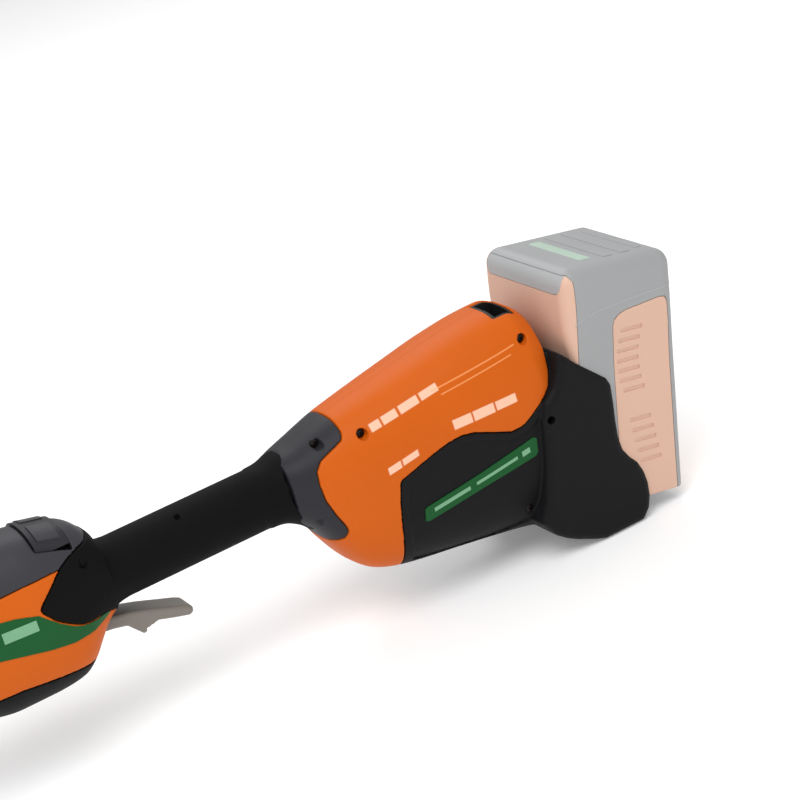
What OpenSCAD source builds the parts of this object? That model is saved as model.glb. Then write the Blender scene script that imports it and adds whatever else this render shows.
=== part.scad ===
// Cordless string trimmer: rear grip housing with battery dock, trigger housing,
// telescopic aluminium shaft, loop handle, tilting motor head, guard and battery pack.
// Units: millimetres. +X to the battery end, +Z up, the tool rests on z = 0.
// Inside the modules the shaft axis is the X axis; place() moves it to the resting frame.

/* [Grip and housings] */
// Outer radius of the rubber grip sleeve
grip_r = 16.5; // [16:0.25:17]
// Wall thickness of the moulded housings
wall = 2.6; // [2.2:0.1:3.2]
// Half width of the battery dock
dock_hw = 41.2; // [41:0.2:43]

/* [Battery pack] */
// Depth of the pack
pack_d = 60.4; // [58:0.2:62]
// Width of the pack
pack_w = 76.8; // [74:0.2:77]
// Length of the pack along its rails
pack_h = 133.6; // [130:0.2:136]
// Rearward lean of the rails in degrees
pack_lean = 10.14; // [9.5:0.02:10.8]

/* [Shaft] */
// Outer radius of the upper tube
tube_r = 14; // [14:0.1:14.2]
// Wall of the upper tube
tube_t = 1.5; // [1.3:0.1:1.6]
// Front end of the upper tube
upper_end = -560; // [-570:5:-550]
// Position of the loop handle clamp along the shaft
clamp_x = -330; // [-360:5:-300]

/* [Cutting head] */
// Distance of the spin axis from the grip collar
head_x = -960; // [-980:5:-950]
// Outer radius of the guard skirt
guard_r = 142; // [136:1:150]
// Radius of the spool cup
cup_r = 46; // [44:1:50]
// Radius of the plant guard wire bow
bail_r = 150; // [146:1:154]

/* [Hidden] */

floor_z = 92;                          // shaft axis above the resting plane
hd = 18.5;                             // lifts the cutting head parts to their height
front_end = head_x - bail_r - 2;       // foremost point, on the plant guard bow
rear_end = 191.1 + (pack_d/2)*cos(pack_lean) + (pack_h/2)*sin(pack_lean);
off_x = -(front_end + rear_end)/2;     // centres the box on the origin
big = 400;
fa = 64;                               // facets of round features

orange = "#d8692a"; dark = "#26262a"; grey = "#3e3e44"; rubber = "#161616"; warm = "#7d7872";
green = "#1a6a34"; steel = "#b9bcc0"; alu = "#c9ccd0"; pale = "#eec3ac"; palegrey = "#a5a5a5"; copper = "#b8783c";

module place() translate([off_x, 0, floor_z]) children();
// Left half is s = -1, right half is s = 1
module half(s) { intersection() { children(); translate([-1200, s < 0 ? -big : 0, -big]) cube([1700, big, 2*big]); } }
// Cylinder along X from x0 to x1, along Y from y0 to y1
module cx(x0, x1, r) translate([x0, 0, 0]) rotate([0, 90, 0]) cylinder(h = x1 - x0, r = r, $fn = fa);
module cy(x, z, y0, y1, r) translate([x, y0, z]) rotate([-90, 0, 0]) cylinder(h = y1 - y0, r = r, $fn = fa);
// Side profile of [x, z] points, extruded across the width
module side(p, hw) rotate([90, 0, 0]) linear_extrude(height = 2*hw, center = true) polygon(p);
// Torus about Z
module torus(R, r) rotate_extrude($fn = 48) translate([R, 0]) circle(r = r, $fn = 16);

// ---- lofted bodies -------------------------------------------------------
// A station is [x, top z, bottom z, half width]; rings are superellipses.
NR = 26;
function sg(v) = v < 0 ? -1 : 1;
function ring(s, d, n) = let (t = s[1] - d, b = s[2] + d, w = s[3] - d, c = (t + b)/2, h = (t - b)/2)
  [for (i = [0:NR - 1]) let (a = 360*i/NR, u = cos(a), v = sin(a))
    [s[0], w*sg(u)*pow(abs(u), 2/n), c + h*sg(v)*pow(abs(v), 2/n)]];
module loft(st, d, n) {
  R = [for (s = st) each ring(s, d, n)];
  M = len(st);
  polyhedron(points = R, convexity = 6, faces = concat(
    [[for (i = [0:NR - 1]) i]], [[for (i = [NR - 1:-1:0]) (M - 1)*NR + i]],
    [for (j = [0:M - 2]) for (i = [0:NR - 1]) [j*NR + i, (j + 1)*NR + i, (j + 1)*NR + (i + 1)%NR]],
    [for (j = [0:M - 2]) for (i = [0:NR - 1]) [j*NR + i, (j + 1)*NR + (i + 1)%NR, j*NR + (i + 1)%NR]]));
}
function moved(st, i, x) = [for (k = [0:len(st) - 1]) k == i ? [x, st[k][1], st[k][2], st[k][3]] : st[k]];

rear_st = [[0, 17.8, -18.6, 17.8], [4, 18.9, -21.6, 20.2], [9, 20.2, -27, 22.5], [15.5, 22.2, -39, 25], [23.6, 24.8, -51.5, 27.5],
  [34, 27.8, -60.4, 30], [46, 30.3, -64.7, 32], [58, 32.6, -67, 33.6], [80, 36.8, -70.2, 35.4], [106, 41.6, -74.4, 37],
  [128, 44.3, -79, 37.6], [142, 45, -86, 37.2], [148, 42.8, -88, 36], [152.4, 39.5, -88, 34.5]];
rear_in = concat([[3, 18.6, -20.8, 19.6]], [for (i = [1:12]) rear_st[i]], [[150, 41.4, -88, 35.4]]);
front_st = [[-228, 20, -20, 20], [-218, 25, -25, 23.5], [-202, 33, -34, 27], [-184, 39, -41, 29], [-165, 42, -44.5, 30], [-147, 42, -44.5, 30],
  [-138, 41, -44, 29.5], [-130, 39, -42.5, 28.5], [-123.5, 37.6, -38, 27], [-117, 36, -30.5, 24.5], [-111, 32.5, -23.5, 22], [-106, 27, -19.6, 19.6], [-103.8, 24, -18.6, 18.4]];
front_in = concat([[-224.5, 22, -21.6, 21.2]], [for (i = [1:10]) front_st[i]], [[-107, 28.2, -20.4, 20.2]]);
module rear_skin() difference() { loft(rear_st, 0, 2.7); loft(rear_in, wall, 2.7); }
module front_skin() difference() { loft(front_st, 0, 2.5); loft(front_in, wall, 2.5); }

// Colour splits on the side of the rear body
collar_line = [[34, 60], [33.3, 33.4], [30.8, 27.4], [30.5, 20], [17.4, 13.7], [13.3, 8], [13.5, -6.6], [16.9, -17.2], [21.5, -29], [19, -33], [0, -40]];
panel_line = [[46, -80], [46.8, -60], [46.7, -38.2], [50, -21.2], [54.4, -10.2], [76.8, -3.1], [91, -1.1], [118.4, -10.8], [138.1, -3.8], [146.6, 1.2], [152.4, 20], [153, 24]];
module collar_region() side(concat([[-20, 60]], collar_line, [[-20, -40]]), 80);
module panel_region() side(concat(panel_line, [[158, 24], [158, -120], [46, -120]]), 80);

// ---- screws --------------------------------------------------------------
// [x, z, y of the shoulder]
shell_screws = [[23, 19.4, -8], [43, 18, -15], [139, 26, -16], [129, -57, -22], [139.5, -17, -22]];
front_screws = [[-192, 12, -12], [-192, -13, -12]];
module screw_body(p) { cy(p[0], p[1], p[2], 9, 1.6); cy(p[0], p[1], p[2] - 2.4, p[2], 3); }
module boss(p, s) { if (s < 0) cy(p[0], p[1], p[2] - 4, -0.01, 4.6); else cy(p[0], p[1], 0.01, 12, 4.6); }
module boss_cut(p, s) { if (s < 0) { cy(p[0], p[1], -60, p[2], 3.5); cy(p[0], p[1], -60, 1, 1.9); } else cy(p[0], p[1], -1, 9.5, 1.75); }
module boss_web(p, s) { // joins the boss to its half's outer wall
  if (s < 0) cy(p[0], p[1], -60, p[2] - 0.5, 5.4); else cy(p[0], p[1], 8, 60, 4.6); }

// ---- handle core, grip and rear body -------------------------------------
module handle_core(s) color(grey) place() difference() {
  union() {
    half(s) difference() { cx(-111, 3, 13.6); cx(-119, 4, 10.8); }
    difference() {
      union() {
        half(s) intersection() { rear_skin(); collar_region(); }
        half(s) intersection() { boss_web(shell_screws[0], s); loft(rear_st, 0.3, 2.7); collar_region(); }
        boss(shell_screws[0], s);
      }
      boss_cut(shell_screws[0], s);
      cx(-20, 6, 10.8);
    }
  }
}
module handle_core_left() handle_core(-1);
module handle_core_right() handle_core(1);
module grip_sleeve() color(rubber) place() difference() { cx(-103.6, -0.2, grip_r); cx(-110, 4, 13.62); }

module rear_shell(s) color(orange) place() difference() {
  union() {
    half(s) difference() { rear_skin(); collar_region(); panel_region(); }
    half(s) intersection() { union() for (k = [1, 2]) boss_web(shell_screws[k], s); loft(rear_st, 0.3, 2.7); }
    for (k = [1, 2]) boss(shell_screws[k], s);
  }
  for (k = [1, 2]) boss_cut(shell_screws[k], s);
  translate([136.8, -12.2, 30]) cube([13.4, 24.4, 40]);   // notch on the crest
}
module rear_shell_left() rear_shell(-1);
module rear_shell_right() rear_shell(1);
module socket_insert() color("#101012") place() difference() {
  intersection() { translate([137, -12, 31]) cube([13, 24, 20]); loft(rear_st, 0.6, 2.7); }
  translate([138.6, -10.4, 33]) cube([9.8, 20.8, 20]);
}

// Battery frame: local x is the pack's depth, local z runs up the rails
module pack_frame() place() translate([191.1, 0, -13.4]) rotate([0, pack_lean, 0]) children();
module pframe() translate([191.1, 0, -13.4]) rotate([0, pack_lean, 0]) children();
pf = -pack_d/2; ph = pack_h/2; pw = pack_w/2;
function xf(z) = 191.1 + (pf - 0.5)/cos(pack_lean) + (z + 13.4)*tan(pack_lean);

// Cheek beside the pack, and the spine plate in front of it
dock_side = [[138.1, -3.8], [146.6, 1.2], [152.4, 20], [153, 22.5], [154, 21], [162, 11.8], [175, -0.8], [180.3, -5.5], [181.1, -9.9],
  [179.1, -29.8], [178.7, -46.4], [186.3, -58.3], [189.3, -67.5], [189.6, -77], [187, -86.5], [182, -floor_z], [157, -floor_z], [151.4, -90],
  [139.5, -84.5], [128.4, -76.8], [121.4, -66.8]];
spine_side = [[152.7, 10], [152.7, 17.5], [xf(17.5), 17.5], [xf(5), 5], [150, 5]];
dock_hollow = [[127, -62], [140.5, -8], [147.5, -3], [154, 13.5], [xf(14) - 4.2, 13.5], [xf(-70) - 4.2, -70], [147, -76], [150, -79.4], [180, -84.6], [179, -88], [158, -88], [153, -86], [141, -81], [131, -74]];
module dock(s) color(dark) place() difference() {
  union() {
    half(s) intersection() { rear_skin(); panel_region(); side([[0, 60], [141, 60], [141, -120], [0, -120]], 80); }
    half(s) difference() {
      union() { side(dock_side, dock_hw); side(spine_side, 31); }
      pframe() translate([pf - 0.5, -pw - 0.6, -ph - 0.5]) cube([90, pack_w + 1.2, 260]);
      side(dock_hollow, 36.6);
    }
    // guide rails for the pack
    pframe() translate([pf - 0.6, s < 0 ? -19 : 17, -58]) cube([3.2, 2, 70]);
    pframe() translate([pf + 2.6, s < 0 ? -23 : 17, -58]) cube([2, 6, 70]);
    for (k = [3, 4]) half(s) intersection() { boss_web(shell_screws[k], s); side(dock_side, dock_hw - 0.2); }
    for (k = [3, 4]) boss(shell_screws[k], s);
  }
  for (k = [3, 4]) boss_cut(shell_screws[k], s);
  pframe() translate([pf - 8, -14.2, -64.2]) cube([12, 28.4, 14.4]);
}
module dock_left() dock(-1);
module dock_right() dock(1);
// Label stripes on the side panels, flush plates that follow the panel
module side_badges() color(green) place() intersection() {
  difference() { loft(rear_st, -0.7, 2.7); loft(rear_st, -0.02, 2.7); }
  side([[59, -37.5], [61, -30.5], [131, -19.8], [131, -27]], 80);
}
module terminal_block() color("#3a3a3e") pack_frame() difference() {
  translate([pf - 6.5, -14, -64]) cube([11, 28, 14]);
  for (y = [-9.5, -3.2, 3.2, 9.5]) translate([pf + 0.1, y - 0.45, -60]) cube([2.6, 0.9, 20]);
}
module contact_blades() color(copper) pack_frame()
  for (y = [-9.5, -3.2, 3.2, 9.5]) translate([pf + 0.2, y - 0.4, -59.9]) cube([2.4, 0.8, 22]);
module controller_board() color("#2c5a3a") place() {
  translate([56, -16, -38]) cube([62, 1.6, 34]);
  translate([62, -14.4, -34]) cube([14, 6, 20]);
  translate([84, -14.4, -32]) cube([22, 4, 22]);
}

// ---- trigger housing -----------------------------------------------------
top_split = [[-235, 13], [-222, 15], [-205, 18], [-185, 21], [-150, 23.5], [-128, 26], [-116, 27.5], [-110.5, 22], [-107.5, 16], [-100, 15]];
low_split = [[-235, -13], [-214, -17], [-190, -25], [-165, -27], [-145, -28.5], [-133.5, -26.5], [-126.5, -23], [-120, -33], [-112, -60]];
module top_region() side(concat(top_split, [[-100, 80], [-235, 80]]), 80);
module low_region() side(concat(low_split, [[-235, -60]]), 80);
tp = [-122, -19];      // trigger pin
module trigger_window() translate([-140, -10.5, -50]) cube([44, 21, 38]);
module front_shell(s) color(orange) place() difference() {
  union() {
    half(s) difference() { front_skin(); top_region(); low_region(); }
    half(s) intersection() { union() for (k = [0, 1]) boss_web(front_screws[k], s); loft(front_st, 0.3, 2.5); side([[-203, -20], [-180, -20], [-180, 19.3], [-203, 18]], 80); }
    for (k = [0, 1]) boss(front_screws[k], s);
    // pin boss
    half(s) intersection() { cy(tp[0], tp[1], s < 0 ? -40 : 12.2, s < 0 ? -12.2 : 40, 4.4); loft(front_st, 0.3, 2.5);
      side([[-130, -27], [-114, -27], [-114, -10], [-130, -10]], 80); }
  }
  for (k = [0, 1]) boss_cut(front_screws[k], s);
  trigger_window();
  translate([-136.2, -19.5, 23.6]) cube([18.4, 39, 30]);   // room for the lock-off button
  cy(tp[0], tp[1], -14.8, 14.8, 2.02);
  cx(-240, -200, tube_r + 0.05);
  cx(-120, -90, 13.65);
}
module front_shell_left() front_shell(-1);
module front_shell_right() front_shell(1);
module front_top_cover() color(grey) place() difference() {
  intersection() { front_skin(); top_region(); }
  translate([-136.2, -19.5, 23.6]) cube([18.4, 39, 40]);
  cx(-120, -90, 13.65);
  cx(-240, -200, tube_r + 0.05);
}
module front_lower_cover() color(dark) place() difference() {
  intersection() { front_skin(); low_region(); }
  trigger_window();
  cx(-240, -200, tube_r + 0.05);
}
module front_badges() color(green) place() intersection() {
  difference() { loft(front_st, -0.7, 2.5); loft(front_st, -0.02, 2.5); }
  side([[-215, 13], [-190, 15], [-165, 15], [-150, 10], [-135, 4], [-118, -4.5], [-124, -6.5], [-146, -5], [-165, -3], [-185, -1.5], [-205, -1]], 80);
}
// Squeeze lever with a small prong under its root
lever = [[-127, -20], [-124, -14.7], [-115, -14.7], [-108, -20], [-97, -22.6], [-84, -27], [-70, -32.2], [-65.2, -35.6], [-67, -39],
  [-84, -34.2], [-95.6, -30.6], [-91.2, -35.6], [-93.4, -37.2], [-100.6, -29.4], [-112, -27.2], [-122, -25.6]];
module trigger() color(warm) place() difference() {
  union() { side(lever, 8); cy(tp[0], tp[1], -8, 8, 5.6); }
  cy(tp[0], tp[1], -20, 20, 2.05);
}
module trigger_pin() color(steel) place() cy(tp[0], tp[1], -14.4, 14.4, 2);
module trigger_spring() color(steel) place() for (y = [9, 10.1, 11.2]) translate([tp[0], y, tp[1]]) rotate([90, 0, 0]) torus(3.4, 0.45);
module trigger_switch() color("#3a3a40") place() {
  translate([-134, -7.5, -9.6]) cube([15.4, 15, 17]);
  translate([-124, 0, -11.4]) cylinder(h = 2, r = 1.6, $fn = fa);
}
module lock_button() color("#33333a") place() {
  intersection() { loft(front_st, -1.5, 2.5); translate([-135.8, -19, 27.9]) cube([17.6, 38, 30]); }
  translate([-127, 0, 20]) cylinder(h = 8.2, r = 2.4, $fn = fa);
}
module lock_spring() color(steel) place() for (z = [20.8, 22.4, 24, 25.6]) translate([-127, 0, z]) torus(3.4, 0.5);

module housing_screws() color("#55585c") place() { for (p = shell_screws) screw_body(p); for (p = front_screws) screw_body(p); }

// ---- shaft ---------------------------------------------------------------
module shaft_lead() color("#202020") place() { cx(-880, -140, 3.6); cx(-112, 40, 3.6); }
module upper_tube() color(alu) place() difference() { cx(upper_end, -200, tube_r); cx(upper_end - 1, -199, tube_r - tube_t); }
inner_r = tube_r - tube_t;
low_r = inner_r - 0.05;
module lower_tube() color(alu) place() difference() { cx(head_x + 70, -300, low_r); cx(head_x + 69, -299, low_r - 1.5); }

// Two-part clamp with ears for the loop handle
cl = clamp_x;
pv = 27;               // height of the loop handle's pivot above the shaft axis
module handle_clamp_upper() color(dark) place() difference() {
  union() {
    intersection() { cx(cl - 22, cl + 22, 20); translate([cl - 30, -30, 0.4]) cube([60, 60, 40]); }
    for (m = [-1, 1]) translate([cl - 14, m*21 - 4, 0.4]) cube([28, 8, 12]);
    for (m = [-1, 1]) difference() {
      union() { cy(cl, pv, m < 0 ? -27 : 21, m < 0 ? -21 : 27, 10); translate([cl - 10, m < 0 ? -27 : 21, 8]) cube([20, 6, 19]); }
    }
    translate([cl - 10, -27, 8]) cube([20, 54, 7]);
  }
  cx(cl - 30, cl + 30, tube_r + 0.02);
  cy(cl, pv, -40, 40, 3.05);
  cy(cl, pv, -20.7, 20.7, 11.6);
  for (m = [-1, 1]) for (k = [-9, 9]) translate([cl + k, m*21.5, -1]) cylinder(h = 30, r = 2.1, $fn = fa);
}
module handle_clamp_lower() color(dark) place() difference() {
  union() {
    intersection() { cx(cl - 22, cl + 22, 20); translate([cl - 30, -30, -40]) cube([60, 60, 39.6]); }
    for (m = [-1, 1]) translate([cl - 14, m*21 - 4, -12]) cube([28, 8, 11.6]);
  }
  cx(cl - 30, cl + 30, tube_r + 0.02);
  for (m = [-1, 1]) for (k = [-9, 9]) translate([cl + k, m*21.5, -30]) cylinder(h = 60, r = 1.75, $fn = fa);
}
module clamp_screws() color(steel) place() for (m = [-1, 1]) for (k = [-9, 9]) {
  translate([cl + k, m*21.5, -10]) cylinder(h = 22.42, r = 1.6, $fn = fa);
  translate([cl + k, m*21.5, -14.9]) cylinder(h = 2.88, r = 3.3, $fn = 6);
  translate([cl + k, m*21.5, -12.02]) cylinder(h = 3, r = 1.6, $fn = fa);
}
// Closed loop handle, built upright and leaned back at the pivot
lp_w = 62; lp_h = 118; lp_c = 30; lean = 12;
module loop_frame() place() translate([cl, 0, pv]) rotate([0, lean, 0]) children();
module bend(y, z, a) translate([0, y, z]) rotate([0, 90, 0]) rotate([0, 0, a]) rotate_extrude(angle = 90, $fn = 64) translate([lp_c, 0]) circle(r = 7, $fn = 32);
module loop_handle() color(dark) loop_frame() difference() {
  union() {
    cy(0, 0, -20.2, 20.2, 11.2);
    translate([-6, -14, 8]) cube([12, 28, 12]);
    translate([0, -(lp_w - lp_c), 22]) rotate([-90, 0, 0]) cylinder(h = 2*(lp_w - lp_c), r = 7, $fn = fa);
    translate([0, -(lp_w - lp_c), 22 + lp_h]) rotate([-90, 0, 0]) cylinder(h = 2*(lp_w - lp_c), r = 7, $fn = fa);
    for (m = [-1, 1]) translate([0, m*lp_w, 22 + lp_c]) cylinder(h = lp_h - 2*lp_c, r = 7, $fn = fa);
    bend(lp_w - lp_c, 22 + lp_c, 0); bend(lp_w - lp_c, 22 + lp_h - lp_c, 90);
    bend(-(lp_w - lp_c), 22 + lp_h - lp_c, 180); bend(-(lp_w - lp_c), 22 + lp_c, 270);
  }
  cy(0, 0, -60, 60, 3.05);
}
module loop_grip() color(rubber) loop_frame() difference() {
  translate([0, -31, 22 + lp_h]) rotate([-90, 0, 0]) cylinder(h = 62, r = 12.5, $fn = fa);
  translate([0, -40, 22 + lp_h]) rotate([-90, 0, 0]) cylinder(h = 80, r = 7.02, $fn = fa);
}
module clamp_bolt() color(steel) place() { cy(cl, pv, -34, 27, 3); cy(cl, pv, 27, 31, 6); }
module clamp_knob() color("#303034") place() difference() {
  union() { cy(cl, pv, -46, -28.4, 11); cy(cl, pv, -28.4, -27.3, 8);
    for (a = [0:60:300]) cy(cl + 10.8*cos(a), pv + 10.8*sin(a), -46, -32, 3.2); }
  cy(cl, pv, -36, -20, 3.05);
}

// Coupler with twist collar between the two tubes
module shaft_coupler() color(dark) place() difference() {
  union() { cx(-580, -540, 19); cx(-603.6, -579, 16.4); }
  cx(upper_end, -530, tube_r + 0.05);
  cx(-610, -550, low_r + 0.06);
  cx(-610, -588, 14.4);
}
module lock_collar() color("#3a3a40") place() difference() {
  union() { cx(-606, -581, 20); for (a = [0:30:330]) rotate([a, 0, 0]) translate([-604, 0, 19.4]) rotate([0, 90, 0]) cylinder(h = 21, r = 2, $fn = 24); }
  cx(-603.9, -570, 16.46);
  cx(-620, -590, low_r + 0.5);
}
module lock_collet() color(palegrey) place() difference() {
  cx(-603.4, -588.2, 14.3);
  cx(-610, -580, low_r + 0.06);
  translate([-610, -1, 5]) cube([16, 2, 20]);
}

// ---- head ----------------------------------------------------------------
px = head_x + 55;      // tilt axis
module head_yoke() color(dark) place() difference() {
  union() {
    cx(px + 18, px + 62, 17);
    for (m = [-1, 1]) translate([0, m < 0 ? -20 : 13.2, 0]) { cy(px, 0, 0, 6.8, 13); translate([px, 0, -13]) cube([24, 6.8, 26]); }
    translate([px + 16, -20, -13]) cube([10, 40, 26]);
    cy(px + 32, 0, -24, -14, 8);
  }
  cx(px + 9, px + 70, low_r + 0.04);
  cy(px, 0, -30, 30, 4.05);
  cy(px, 0, -13.2, 13.2, 14);
  cy(px + 32, 0, -25, -15.5, 5.6);
}
module tilt_pin() color(steel) place() { cy(px, 0, -19.8, 19.8, 4); }
module tilt_button() color("#c2561e") place() { cy(px + 32, 0, -27.5, -20.2, 5.2); }
module tilt_spring() color(steel) place() for (y = [-19.6, -18.2, -16.8]) translate([px + 32, y, 0]) rotate([90, 0, 0]) torus(3.6, 0.5);

// Motor housing: cylinder with a tongue to the tilt pin
module head_outer() { translate([head_x, 0, -64 + hd]) cylinder(h = 76, r = 31, $fn = 96);
  translate([head_x, -12.7, -12]) cube([55, 25.4, 24]); cy(px, 0, -12.7, 12.7, 12); }
module head_half(s) color(orange) place() difference() {
  half(s) head_outer();
  translate([head_x, 0, -61 + hd]) cylinder(h = 80, r = 28.4, $fn = 96);
  translate([head_x, 0, -70 + hd]) cylinder(h = 20, r = 9.5, $fn = 64);
  cy(px, 0, -30, 30, 4.06);
  cx(head_x + 20, px + 30, 4.2);
  for (a = [45, 135, 225, 315]) rotate_head(a) translate([24.5, 0, -70 + hd]) cylinder(h = 12, r = 1.8, $fn = fa);
  for (z = [-24:8:0]) translate([head_x - 40, -14, z + hd]) cube([20, 28, 3]);
}
module rotate_head(a) translate([head_x, 0, 0]) rotate([0, 0, a]) children();
module hp() place() translate([0, 0, hd]) children();
module head_housing_left() head_half(-1);
module head_housing_right() head_half(1);
module head_cap() color(dark) hp() difference() {
  translate([head_x, 0, 12.05]) rotate_extrude($fn = 96) polygon([[0, 0], [31, 0], [30.6, 4], [27, 9], [20, 12], [0, 13.5]]);
  translate([head_x, 0, 10]) rotate_extrude($fn = 96) polygon([[0, 0], [28.4, 0], [27.6, 6], [24, 9.6], [18, 11.4], [0, 12.8]]);
}
module motor_can() color(steel) hp() difference() {
  translate([head_x, 0, -60.9]) cylinder(h = 58, r = 28.2, $fn = 96);
  translate([head_x, 0, -57.5]) cylinder(h = 52, r = 23, $fn = 96);
  translate([head_x, 0, -70]) cylinder(h = 100, r = 4.06, $fn = fa);
}
module motor_armature() color(copper) hp() {
  translate([head_x, 0, -52]) cylinder(h = 40, r = 20.5, $fn = 96);
  translate([head_x, 0, -87]) cylinder(h = 87, r = 4, $fn = fa);
}
sa = 82;
module guard() color(dark) hp() difference() {
  union() {
    difference() {
      translate([head_x, 0, -floor_z - hd]) cylinder(h = floor_z + hd - 65.2, r = guard_r, $fn = 128);
      translate([head_x, 0, -floor_z - hd - 1]) cylinder(h = floor_z + hd - 67.2, r = guard_r - 3, $fn = 128);
      translate([head_x, 0, -200]) linear_extrude(height = 200) polygon([[0, 0], [300*cos(sa), 300*sin(sa)], [-300, 300], [-300, -300], [300*cos(sa), -300*sin(sa)]]);
    }
    translate([head_x, 0, -68.2]) cylinder(h = 4.1, r = 38, $fn = 96);
  }
  translate([head_x, 0, -80]) cylinder(h = 20, r = 12, $fn = 96);
  for (a = [45, 135, 225, 315]) rotate_head(a) translate([24.5, 0, -80]) cylinder(h = 30, r = 2, $fn = fa);
}
module guard_screws() color("#707478") hp() for (a = [45, 135, 225, 315]) rotate_head(a) translate([24.5, 0, 0]) {
  translate([0, 0, -68.3]) cylinder(h = 7, r = 1.65, $fn = fa); translate([0, 0, -70.2]) cylinder(h = 1.98, r = 3.2, $fn = fa); }
module line_cutter() color(steel) hp() rotate_head(-sa + 4) { translate([guard_r - 17, -0.7, -108]) cube([13.9, 1.4, 20]); }
// Wire bow in front of the head, hinged on the housing's sides
ba = 58; bz = -88 + hd; hz = -48 + hd;
function bpt(s) = [head_x - bail_r*cos(ba), s*bail_r*sin(ba), bz];
function hpt(s) = [head_x, s*34.2, hz];
module rod(a, b, r) { d = b - a; L = norm(d); translate(a) rotate([0, acos(d[2]/L), atan2(d[1], d[0])]) cylinder(h = L, r = r, $fn = 32); }
module plant_guard() color(steel) place() {
  translate([head_x, 0, bz]) rotate([0, 0, 180 - ba]) rotate_extrude(angle = 2*ba, $fn = 128) translate([bail_r, 0]) circle(r = 2, $fn = 24);
  for (s = [-1, 1]) { rod(hpt(s), bpt(s), 2); translate(bpt(s)) sphere(r = 3, $fn = 32); cy(head_x, hz, s < 0 ? -36.6 : 31.3, s < 0 ? -31.3 : 36.6, 4); }
}
module spool_cup() color(dark) hp() difference() {
  translate([head_x, 0, -99]) cylinder(h = 28.4, r = cup_r, $fn = 96);
  translate([head_x, 0, -110]) cylinder(h = 36.4, r = cup_r - 3, $fn = 96);
  translate([head_x, 0, -90]) cylinder(h = 40, r = 4.05, $fn = fa);
  for (s = [-1, 1]) cy(head_x, -86, s < 0 ? -60 : 40, s < 0 ? -40 : 60, 4);
}
module line_eyelets() color(steel) hp() for (s = [-1, 1]) difference() {
  cy(head_x, -86, s < 0 ? -cup_r - 1 : cup_r - 4, s < 0 ? -cup_r + 4 : cup_r + 1, 3.95);
  cy(head_x, -86, -60, 60, 1.6);
}
module spool() color("#c2561e") hp() difference() {
  union() {
    translate([head_x, 0, -94]) cylinder(h = 15, r = 14, $fn = 96);
    translate([head_x, 0, -96]) cylinder(h = 2.4, r = 37, $fn = 96);
    translate([head_x, 0, -80.4]) cylinder(h = 1.8, r = 37, $fn = 96);
    translate([head_x, 0, -104]) rotate_extrude($fn = 96) polygon([[0, 0], [42.6, 0], [42.6, 2.4], [22, 4], [16, 8.5], [0, 8.5]]);
    translate([head_x, 0, -109.2]) rotate_extrude($fn = 96) polygon([[0, 0], [15, 0], [18, 1.6], [19.5, 5.4], [0, 5.4]]);
  }
  translate([head_x, 0, -92]) cylinder(h = 30, r = 10.6, $fn = 96);
}
module line_winding() color("#e8e0c0") hp() difference() {
  translate([head_x, 0, -93.5]) cylinder(h = 13, r = 32, $fn = 96);
  translate([head_x, 0, -100]) cylinder(h = 30, r = 14.1, $fn = 96);
}
module spool_spring() color(steel) hp() for (z = [-90.6, -88, -85.4, -82.8, -80.2, -77.6, -75.2]) translate([head_x, 0, z]) torus(8.6, 0.9);

// ---- battery pack --------------------------------------------------------
split_x = -14;
module pack_block(x0, x1, d) translate([x0, -pw + d, -ph + d]) cube([x1 - x0, pack_w - 2*d, pack_h - 2*d]);
module pack_front_cover() color(pale) pack_frame() difference() {
  pack_block(pf, split_x, 0);
  pack_block(-23.6, split_x + 1, 2.6);
  for (s = [-1, 1]) {
    translate([pf - 1, s < 0 ? -19.5 : 16.5, -ph - 1]) cube([4.4, 3, ph + 14]);
    translate([pf + 2.1, s < 0 ? -23.6 : 16.5, -ph - 1]) cube([3, 7.1, ph + 14]);
  }
  translate([pf - 1, -14.6, -ph - 1]) cube([6.2, 29.2, ph - 48.8]);
  for (y = [-9.5, -3.2, 3.2, 9.5]) translate([pf - 0.6, y - 0.8, -50]) cube([4, 1.6, 14]);
  translate([pf - 1, -22.4, 37.6]) cube([12, 44.8, 20.8]);
}
module pack_rear_case() color(palegrey) pack_frame() difference() {
  pack_block(split_x, -pf, 0);
  pack_block(split_x - 1, -pf - 2.6, 2.6);
}
module pack_latch() color(palegrey) pack_frame() {
  translate([pf + 0.2, -22, 38]) cube([5.6, 44, 20]);
  for (y = [-14, 14]) translate([pf + 5.7, y, 48]) rotate([0, 90, 0]) cylinder(h = 2, r = 3, $fn = fa);
}
module pack_latch_spring() color(steel) pack_frame() for (y = [-14, 14]) for (k = [0:3]) translate([pf + 9 + 1.7*k, y, 48]) rotate([0, 90, 0]) torus(3.6, 0.5);
module pack_cells() color("#3f7fb0") pack_frame() for (z = [-48:24:48]) for (x = [-8, 13]) if (!(x < 0 && z > 30)) translate([x, -32.5, z]) rotate([-90, 0, 0]) cylinder(h = 65, r = 9.1, $fn = fa);

handle_core_left();
handle_core_right();
grip_sleeve();
rear_shell_left();
rear_shell_right();
dock_left();
dock_right();
side_badges();
socket_insert();
terminal_block();
contact_blades();
controller_board();
front_shell_left();
front_shell_right();
front_top_cover();
front_lower_cover();
front_badges();
trigger();
trigger_pin();
trigger_spring();
trigger_switch();
lock_button();
lock_spring();
housing_screws();
shaft_lead();
upper_tube();
handle_clamp_upper();
handle_clamp_lower();
clamp_screws();
loop_handle();
loop_grip();
clamp_bolt();
clamp_knob();
shaft_coupler();
lock_collar();
lock_collet();
lower_tube();
head_yoke();
tilt_pin();
tilt_button();
tilt_spring();
head_housing_left();
head_housing_right();
head_cap();
motor_can();
motor_armature();
guard();
guard_screws();
line_cutter();
plant_guard();
spool_cup();
line_eyelets();
spool();
line_winding();
spool_spring();
pack_front_cover();
pack_rear_case();
pack_latch();
pack_latch_spring();
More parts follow.
